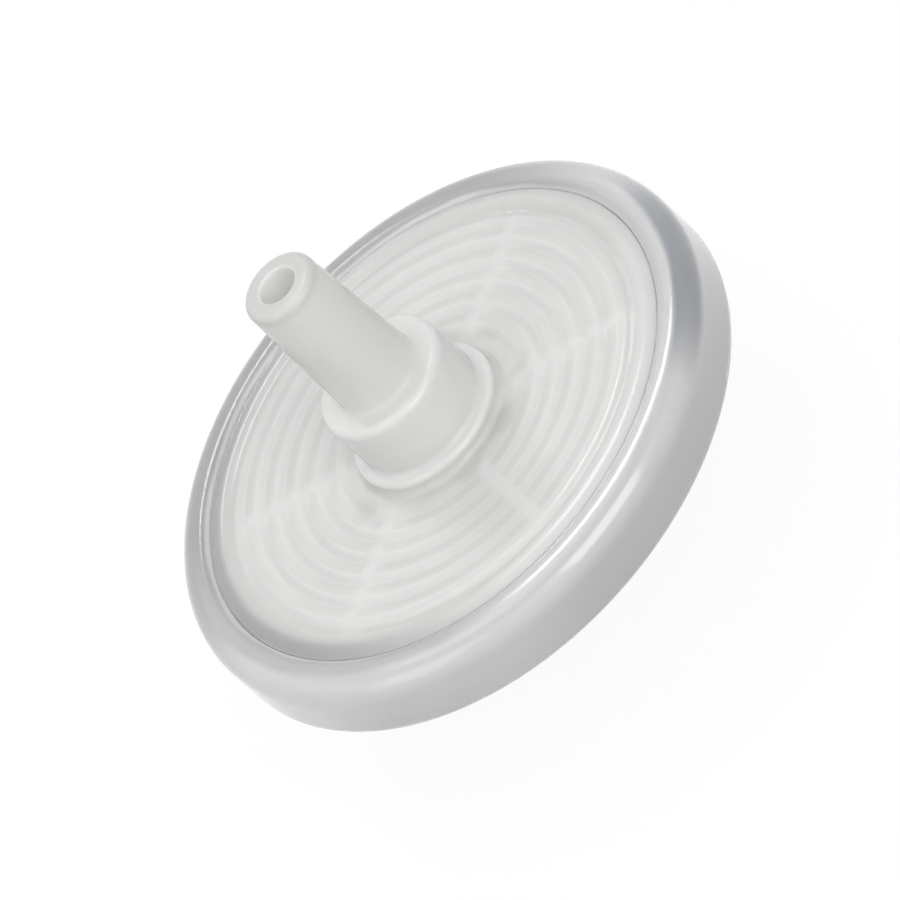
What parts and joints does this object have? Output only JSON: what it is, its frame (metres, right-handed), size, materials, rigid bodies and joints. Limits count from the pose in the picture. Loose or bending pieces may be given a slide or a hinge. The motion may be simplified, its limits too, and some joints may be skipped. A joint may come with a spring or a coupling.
{
  "type": "syringe filter",
  "caption": "Disc syringe filter: a membrane clamped between two translucent plastic plates, with a male slip outlet nozzle and a female lock inlet hub.",
  "frame": {"origin": "centre of the inlet mouth, on the end face that the filter stands on", "axes": "+Z along the flow, from the inlet hub to the outlet nozzle; +X through one lug of the inlet's lock thread"},
  "size_m": [0.03, 0.03, 0.0246],
  "materials": {
    "housing": "natural translucent polypropylene, smooth moulded gloss",
    "ring": "natural translucent polypropylene, smooth moulded gloss",
    "membrane": "matt white microporous polymer film"
  },
  "bodies": {
    "root": {"inlet_housing": "housing", "membrane": "membrane", "outlet_housing": "housing", "overmould_ring": "ring"}
  },
  "joints": []
}
